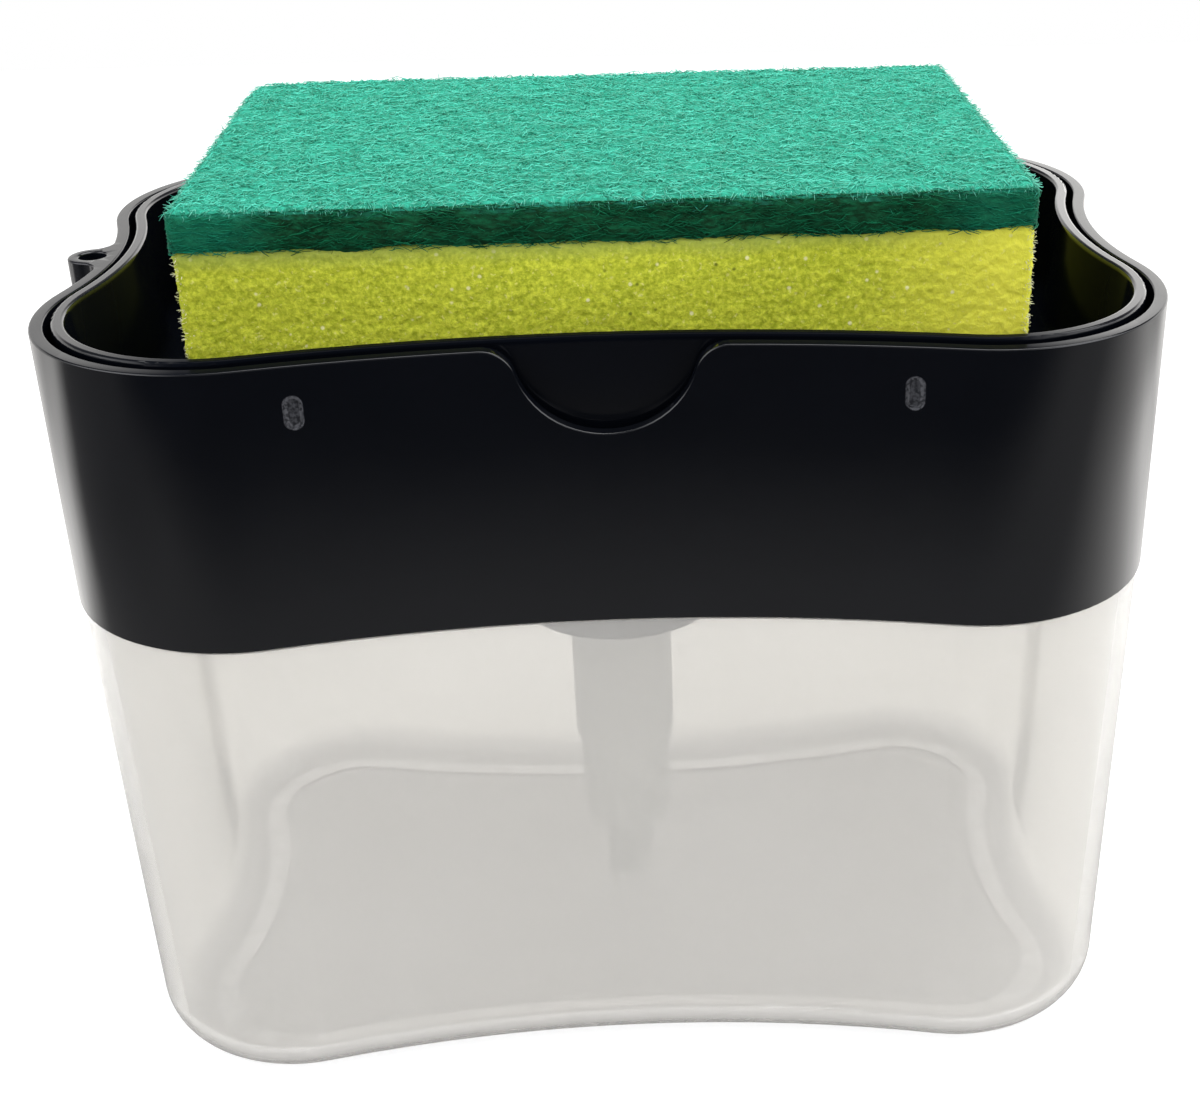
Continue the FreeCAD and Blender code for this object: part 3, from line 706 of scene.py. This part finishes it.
def make_pad():
    """The pad's felted body, whose lower edge wanders a little over the foam."""
    bottom, top = layer_heights("scouring_pad")
    bm = rounded_block(pad_length, pad_width, bottom, top - pad_sink, pad_edge, pad_step)
    bm.normal_update()
    moves = []
    for vert in bm.verts:
        lump = lump_depth * noise.noise(vert.co / lump_size)
        tuft = tuft_depth * noise.noise(vert.co / tuft_size)
        low = max(0.0, min(1.0, (bottom + droop_height - vert.co.z) / droop_height))
        flat = Vector((vert.co.x, vert.co.y, 0))
        droop = droop_mean
        for depth, size in droop_waves:
            droop += depth * noise.noise(flat / size)
        moves.append(vert.normal * (lump + tuft) - Vector((0, 0, low * droop)))
    for vert, move in zip(bm.verts, moves):
        vert.co += move
    places = np.array([vert.co[:] for vert in bm.verts])
    round_x, round_y = worn(places[:, 0], places[:, 1])
    for vert, x, y in zip(bm.verts, round_x, round_y):
        vert.co.x, vert.co.y = x, y
    mesh = finish_block(bm, "pad_felt", "scouring_pad")
    piece = link("pad_felt", mesh, pad_green(), "sponge")
    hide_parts("scouring_pad")


def strands_mesh(name, paths, radii):
    """Three-sided strands. paths is strands by points by 3, and radii one a strand."""
    count, points, _ = paths.shape
    ways = np.gradient(paths, axis=1)
    ways /= np.linalg.norm(ways, axis=2, keepdims=True)
    up = np.zeros_like(ways)
    up[..., 2] = 1.0
    up[np.abs(ways[..., 2]) > steep_way] = (1.0, 0.0, 0.0)
    side = np.cross(ways, up)
    side /= np.linalg.norm(side, axis=2, keepdims=True)
    over = np.cross(side, ways)
    taper = np.sin(np.linspace(taper_margin, math.pi - taper_margin, points)) ** taper_power
    rings = []
    for corner in range(3):
        angle = 2 * math.pi * corner / 3 + math.pi / 2
        out = side * math.cos(angle) + over * math.sin(angle)
        rings.append(paths + out * (radii[:, None] * taper[None, :])[..., None])
    verts = np.stack(rings, axis=2).reshape(-1, 3)
    first = np.arange(count)[:, None, None] * points * 3
    along = np.arange(points - 1)[None, :, None] * 3
    corner = np.arange(3)[None, None, :]
    following = (corner + 1) % 3
    quads = np.stack([first + along + corner, first + along + following,
                      first + along + 3 + following, first + along + 3 + corner], axis=-1)
    begin = first[:, 0, 0]
    last = begin + (points - 1) * 3
    caps_low = np.stack([begin + 2, begin + 1, begin], axis=-1)
    caps_high = np.stack([last, last + 1, last + 2], axis=-1)
    faces = quads.reshape(-1, 4).tolist() + caps_low.tolist() + caps_high.tolist()
    mesh = bpy.data.meshes.new(name)
    mesh.from_pydata(verts.tolist(), [], faces)
    mesh.shade_smooth()
    return mesh


def link_strands(name, paths, radii, node, material):
    """A piece of strands, turned and moved from the sponge's own middle to its layer's place."""
    centre_x, centre_y = layer_centre(node)
    cos, sin = math.cos(sponge_turn), math.sin(sponge_turn)
    x = paths[..., 0] * cos - paths[..., 1] * sin + centre_x
    y = paths[..., 0] * sin + paths[..., 1] * cos + centre_y
    mesh = strands_mesh(name, np.stack([x, y, paths[..., 2]], axis=-1), radii)
    link(name, mesh, material, "sponge")


def make_top_fibres(name, seed, material):
    """Short crimped strands that lie criss-cross on the pad's top, some over its edge."""
    count, points = top_count, 5
    margin = 0.6 * MM
    depth = 0.2 * MM
    crimp = 0.13 * MM
    edge_reach = 1.2 * MM
    rng = np.random.default_rng(seed)
    _, top = layer_heights("scouring_pad")
    x = rng.uniform(-0.5, 0.5, count) * (sponge_length - margin)
    y = rng.uniform(-0.5, 0.5, count) * (sponge_width - margin)
    heading = rng.uniform(0, 2 * math.pi, count)
    length = rng.uniform(1.3, 3.8, count) * MM
    bend = rng.normal(0, 1.5, count)
    t = np.linspace(-0.5, 0.5, points)[None, :]
    angle = heading[:, None] + bend[:, None] * t + rng.normal(0, 0.25, (count, points))
    step = length[:, None] / (points - 1)
    back = 0.5 * length[:, None]
    path_x = x[:, None] + np.cumsum(np.cos(angle) * step, axis=1) - back * np.cos(heading)[:, None]
    path_y = y[:, None] + np.cumsum(np.sin(angle) * step, axis=1) - back * np.sin(heading)[:, None]
    limit_x = sponge_length / 2 + rng.uniform(-0.4, 0.12, count)[:, None] * MM
    limit_y = sponge_width / 2 + rng.uniform(-0.4, 0.12, count)[:, None] * MM
    over = np.maximum(np.abs(path_x) - limit_x, 0) + np.maximum(np.abs(path_y) - limit_y, 0)
    inside = np.minimum(sponge_length / 2 - np.abs(path_x), sponge_width / 2 - np.abs(path_y))
    edge_drop = 0.9 * np.clip(1 - inside / edge_reach, 0, 1.2) ** 2 * MM
    path_x = np.clip(path_x, -limit_x, limit_x)
    path_y = np.clip(path_y, -limit_y, limit_y)
    rise = rng.normal(0.04, 0.14, count)[:, None] * MM
    wave = crimp * np.sin(rng.uniform(0, 2 * math.pi, count)[:, None] + 4.0 * math.pi * t)
    z = top - depth + rise + wave - over * 0.8 - edge_drop
    paths = np.stack([*worn(path_x, path_y), z], axis=-1)
    radii = rng.uniform(0.045, 0.08, count) * MM
    link_strands(name, paths, radii, "scouring_pad", material)


def round_pad(run):
    """Points on the pad's outline in plan, each a run away from its front left corner."""
    edges = [(pad_length, (-0.5, -0.5), (1, 0)), (pad_width, (0.5, -0.5), (0, 1)),
             (pad_length, (0.5, 0.5), (-1, 0)), (pad_width, (-0.5, 0.5), (0, -1))]
    x = np.zeros_like(run)
    y = np.zeros_like(run)
    begin = 0.0
    for edge, start, way in edges:
        here = (run >= begin) & (run < begin + edge)
        x = np.where(here, start[0] * pad_length + way[0] * (run - begin), x)
        y = np.where(here, start[1] * pad_width + way[1] * (run - begin), y)
        begin += edge
    return x, y


def make_side_fibres():
    """Cut strands that lie along the pad's four sides."""
    count, points = side_count, 5
    hang = 0.6 * MM
    crimp = 0.08 * MM
    longest_step = 2.5 * MM
    rng = np.random.default_rng(side_seed)
    bottom, top = layer_heights("scouring_pad")
    perimeter = 2 * (pad_length + pad_width)
    middle = rng.uniform(0, perimeter, count)
    length = rng.uniform(0.7, 2.6, count) * MM
    t = np.linspace(-0.5, 0.5, points)[None, :]
    x, y = round_pad((middle[:, None] + t * length[:, None]) % perimeter)
    out = rng.normal(0.03, 0.09, count)[:, None] * MM
    out = out + crimp * np.sin(rng.uniform(0, 2 * math.pi, count)[:, None] + 3 * math.pi * t)
    level = rng.uniform(-0.04, 1.0, count)[:, None] * (top - bottom) + bottom
    slope = rng.normal(0, 0.26, count)[:, None] * MM * t * 2
    z = level + slope + rng.normal(0, 0.06, (count, points)) * MM
    z = np.clip(z, bottom - hang, top - pad_sink)
    inner_x = np.clip(x, pad_edge - pad_length / 2, pad_length / 2 - pad_edge)
    inner_y = np.clip(y, pad_edge - pad_width / 2, pad_width / 2 - pad_edge)
    inner_z = np.minimum(z, top - pad_sink - pad_edge)
    away = np.sqrt((x - inner_x) ** 2 + (y - inner_y) ** 2 + (z - inner_z) ** 2)
    share = (pad_edge + out) / away
    x, y = worn(inner_x + (x - inner_x) * share, inner_y + (y - inner_y) * share)
    z = inner_z + (z - inner_z) * share
    steps = np.abs(np.diff(x, axis=1)).max(axis=1) + np.abs(np.diff(y, axis=1)).max(axis=1)
    keep = steps < longest_step
    radii = rng.uniform(0.035, 0.065, count)[keep] * MM
    # The side strands are dark as painted shade, and lighter at the pad's ends as painted light
    material = fibre("pad_side_fibre", side_strand_painted_shade, 0.12, side_strand_painted_light)
    link_strands("pad_side_fibres", np.stack([x, y, z], axis=-1)[keep], radii, "scouring_pad",
                 material)


def loose_ends(rng, way_x, way_y, points, spread, climb, lengths, bends):
    """Short bent strands that start at 0, one for each outward way. climb and bends are a mean and
    a deviation, and lengths the least and the most, in millimetres."""
    count = len(way_x)
    out_x = way_x + rng.normal(0, spread, count)
    out_y = way_y + rng.normal(0, spread, count)
    out_z = rng.normal(*climb, count)
    length = rng.uniform(*lengths, count) * MM / np.sqrt(out_x ** 2 + out_y ** 2 + out_z ** 2)
    t = np.linspace(0, 1, points)[None, :]
    bend = rng.normal(*bends, count)[:, None] * MM * t ** 2
    x, y, z = ((out * length)[:, None] * t for out in (out_x, out_y, out_z))
    return x, y, z + bend


def make_edge_fringe():
    """Loose pale ends that stand out from the pad's top edge, fewer at its front and left."""
    count, root = fringe_count, 0.7 * MM
    front_share = 0.38
    rng = np.random.default_rng(fringe_seed)
    _, top = layer_heights("scouring_pad")
    along = rng.uniform(-0.5, 0.5, count)
    on_long_side = rng.uniform(0, pad_length + pad_width, count) < pad_length
    sign = np.where(rng.uniform(0, 1, count) < front_share, -1.0, 1.0)
    way_x, way_y = np.where(on_long_side, 0.0, sign), np.where(on_long_side, sign, 0.0)
    root_x = np.where(on_long_side, along * pad_length, sign * (pad_length / 2 - root))
    root_y = np.where(on_long_side, sign * (pad_width / 2 - root), along * pad_width)
    x, y, z = loose_ends(rng, way_x, way_y, points=4, spread=0.55, climb=(-0.22, 0.28),
                         lengths=(0.5, 1.25), bends=(-0.1, 0.2))
    level = top - pad_sink + rng.uniform(-0.35, 0.12, count)[:, None] * MM
    paths = np.stack([*worn(root_x[:, None] + x, root_y[:, None] + y), level + z], axis=-1)
    radii = rng.uniform(0.03, 0.055, count) * MM
    material = fibre("pad_edge_fringe", fringe_shades, 0.2)
    link_strands("pad_edge_fringe", paths, radii, "scouring_pad", material)


def make_foam_fuzz():
    """Torn cell walls that stand out from the foam's upright edges."""
    count, root = fuzz_count, 0.3 * MM
    rng = np.random.default_rng(fuzz_seed)
    bottom, top = layer_heights("sponge_foam")
    corner = rng.integers(0, 4, count)
    side_x = np.where((corner == 1) | (corner == 2), 1.0, -1.0)
    side_y = np.where(corner >= 2, 1.0, -1.0)
    turn = rng.uniform(-0.1, math.pi / 2 + 0.1, count)
    way_x, way_y = side_x * np.cos(turn), side_y * np.sin(turn)
    root_x = side_x * (sponge_length / 2 - foam_corner) + way_x * (foam_corner - root)
    root_y = side_y * (sponge_width / 2 - foam_corner) + way_y * (foam_corner - root)
    level = rng.uniform(bottom + root, top - root, count)
    root_x, root_y = worn(root_x, root_y)
    x, y, z = loose_ends(rng, way_x, way_y, points=3, spread=0.35, climb=(0, 0.5),
                         lengths=(0.4, 0.85), bends=(0, 0.12))
    paths = np.stack([root_x[:, None] + x, root_y[:, None] + y, level[:, None] + z], axis=-1)
    radii = rng.uniform(0.03, 0.06, count) * MM
    material = fibre("foam_fuzz", fuzz_shades, 0.3)
    link_strands("foam_fuzz", paths, radii, "sponge_foam", material)


def make_collar(material, shaded):
    """The collar, with the rounds of its mould along the rim and the finger notch. Its top under
    the sponge's front has the shaded material."""
    bm = bmesh.new()
    bm.from_mesh(frame["nodes"]["collar"].data)
    bmesh.ops.remove_doubles(bm, verts=bm.verts, dist=weld_reach)
    bm.normal_update()
    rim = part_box("collar")[1].z
    sharp = []
    for edge in bm.edges:
        if len(edge.link_faces) != 2 or edge.calc_face_angle_signed(0.0) < least_turn:
            continue
        ends = [vert.co for vert in edge.verts]
        at_rim = all(end.z > rim - rim_slack for end in ends)
        at_notch = all(abs(end.x) < notch_reach and end.y < -notch_from
                       and end.z > rim - notch_depth for end in ends)
        if at_rim or at_notch:
            sharp.append(edge)
    bmesh.ops.bevel(bm, geom=sharp, offset=rim_round, offset_type="OFFSET", segments=rim_steps,
                    profile=0.5, affect="EDGES", clamp_overlap=False)
    mesh = bpy.data.meshes.new("collar_shell")
    bm.to_mesh(mesh)
    bm.free()
    if "custom_normal" in mesh.attributes:
        mesh.attributes.remove(mesh.attributes["custom_normal"])
    mesh.shade_smooth()
    mesh.set_sharp_from_angle(angle=smooth_below)
    mesh.materials.clear()
    piece = link("collar_shell", mesh, material, "collar_unit")
    mesh.materials.append(shaded)
    for face in mesh.polygons:
        on_top = (face.normal.z > shade_turn and face.normal.y > -shade_lean
                  and face.center.z > rim - rim_round)
        if on_top and face.center.y < -shade_from and abs(face.center.x) < shade_reach:
            face.material_index = 1
    flats = piece.modifiers.new("level_flats", "WEIGHTED_NORMAL")
    flats.keep_sharp = True
    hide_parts("collar")


def make_spring(material):
    """The return spring, as the collar unit's own copy of the imported coil."""
    mesh = frame["nodes"]["return_spring"].data.copy()
    mesh.name = "spring_coil"
    mesh.materials.clear()
    piece = link("spring_coil", mesh, material, "collar_unit")
    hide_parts("return_spring")
    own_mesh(piece)


def table_mirrored(s):
    """How bright reflections show the table, by the place on it in metres: dim in front, bright to
    the left and right of the object."""
    x, y, _ = s.parts(s.coordinates)
    slanted = s.math("ADD", y, s.math("MULTIPLY", s.math("MAXIMUM", x, 0.0), 0.2))
    front = s.ranged(slanted, -0.245, -0.17, mirror_dim, mirror_front)
    front = s.math("MULTIPLY", front, s.ranged(x, -0.24, -0.16, 0.6, 1.0))
    right = s.math("MULTIPLY", s.ranged(y, -0.13, 0.04, 0.0, mirror_right),
                   s.ranged(x, 0.05, 0.23))
    right = s.math("MULTIPLY", right, s.ranged(x, 0.235, 0.30, 1.0, 0.6))
    nearer = s.math("ADD", y, s.ranged(x, -0.25, -0.2, 0.0, 0.022))
    left = s.math("MULTIPLY", s.ranged(nearer, 0.012, 0.075, 0.0, mirror_left),
                  s.ranged(x, -0.2, 0.0, 1.0, 0.0))
    sides = s.math("MULTIPLY", s.math("ADD", left, right), s.ranged(y, 0.08, 0.14, 1.0, 0.5))
    return s.math("ADD", front, sides)


def make_table():
    """The white table top. Seen directly or through the tank it is the backdrop's white; its
    bounced light is greyer in front as painted shade, and reflections show it dim in front and
    bright at its sides."""
    mesh = bpy.data.meshes.new("table")
    corners = [(x * table_side, y * table_side, 0) for x, y in ((-1, -1), (1, -1), (1, 1), (-1, 1))]
    mesh.from_pydata(corners, [], [(0, 1, 2, 3)])
    table = bpy.data.objects.new("table", mesh)
    bpy.context.scene.collection.objects.link(table)
    s = new_material("table_white")
    white = s.joined("AddShader", s.shader("BsdfDiffuse", Color=table_shadow),
                     s.shader("Emission", Color=pure_white, Strength=table_glow))
    y = s.parts(s.coordinates)[1]
    # Painted shade: bounced light from the table is greyer in front
    plain = s.shader("BsdfDiffuse", Color=s.mixed(s.ranged(y, -0.25, -0.08), *table_painted_shade_greys))
    mirrored = s.shader("Emission", Color=warm_white, Strength=table_mirrored(s))
    seen, glossy = s.rays()
    direct = s.joined("MixShader", seen, plain, white)
    mesh.materials.append(s.surface(s.joined("MixShader", glossy, direct, mirrored)))


def make_world():
    """A soft room with a white backdrop behind the table, which is plain white seen directly and
    brighter at its right in a reflection."""
    world = bpy.data.worlds.new("studio")
    bpy.context.scene.world = world
    s = Shading(world, "ShaderNodeOutputWorld", "Generated")
    x, y, z = s.parts(s.coordinates)
    behind = s.eased(z, *backdrop_fade, back_low, back_high)
    left = s.eased(x, -0.75, -0.25, front_left, front_middle)
    room = s.eased(z, 0.05, 0.35, front_low, s.eased(x, 0.25, 0.75, left, front_right))
    above = s.eased(y, *turns_back, room, behind)
    studio = s.shader("Background", Color=room_white,
                      Strength=s.eased(z, -0.02, 0.03, below, above))
    white = s.shader("Background", Color=pure_white)
    bright = s.shader("Background", Color=warm_white,
                      Strength=s.eased(x, -0.1, 0.2, back_left, back_right))
    backdrop = s.math("MULTIPLY", s.eased(z, *mirror_fade, 1, 0), s.eased(y, *turns_back, 0, 1))
    seen, glossy = s.rays()
    direct = s.joined("MixShader", seen, studio, white)
    s.surface(s.joined("MixShader", s.math("MULTIPLY", glossy, backdrop), direct, bright))


def make_softbox():
    """A square soft lamp that faces the object."""
    data = bpy.data.lights.new("softbox", "AREA")
    data.shape = "SQUARE"
    data.size = softbox_size
    data.energy = softbox_power
    lamp = bpy.data.objects.new("softbox", data)
    lamp.location = softbox_place
    lamp.rotation_euler = (softbox_target - softbox_place).to_track_quat("-Z", "Y").to_euler()
    bpy.context.scene.collection.objects.link(lamp)


def dress_frame():
    """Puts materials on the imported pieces, by their material slots, and gives them by name."""
    finishes = {
        "black_plastic": black_plastic("black_plastic", open_gloss),
        "tank_plastic": tank_plastic(),
        "natural_plastic": natural_plastic(),
        "seal_rubber": seal_rubber(),
        "spring_steel": steel("spring_steel", 0.16, 0.28),
        "ball_steel": steel("ball_steel", 0.05, 0.1),
    }
    tray_finish = black_plastic("black_plastic_tray", tray_gloss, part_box("tray")[1].z)
    for part in frame["record"]["subparts"]:
        finish = tray_finish if part["node"] == "tray" else finishes.get(part["material_slot"])
        if finish is not None:
            piece = frame["nodes"][part["node"]]
            piece.data.materials.clear()
            piece.data.materials.append(finish)
    return finishes


bpy.context.scene.view_settings.view_transform = "Standard"
make_camera()
make_table()
make_world()
make_softbox()
finishes = dress_frame()
make_collar(finishes["black_plastic"],
            black_plastic("black_plastic_shaded", shaded_gloss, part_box("collar")[1].z))
make_spring(finishes["spring_steel"])
make_foam()
make_foam_fuzz()
make_pad()
top_finish = fibre("pad_top_fibre", top_strand_shades, 0.4)
make_top_fibres("pad_top_fibres_a", top_seed, top_finish)
make_top_fibres("pad_top_fibres_b", top_seed + 1, top_finish)
make_side_fibres()
make_edge_fringe()
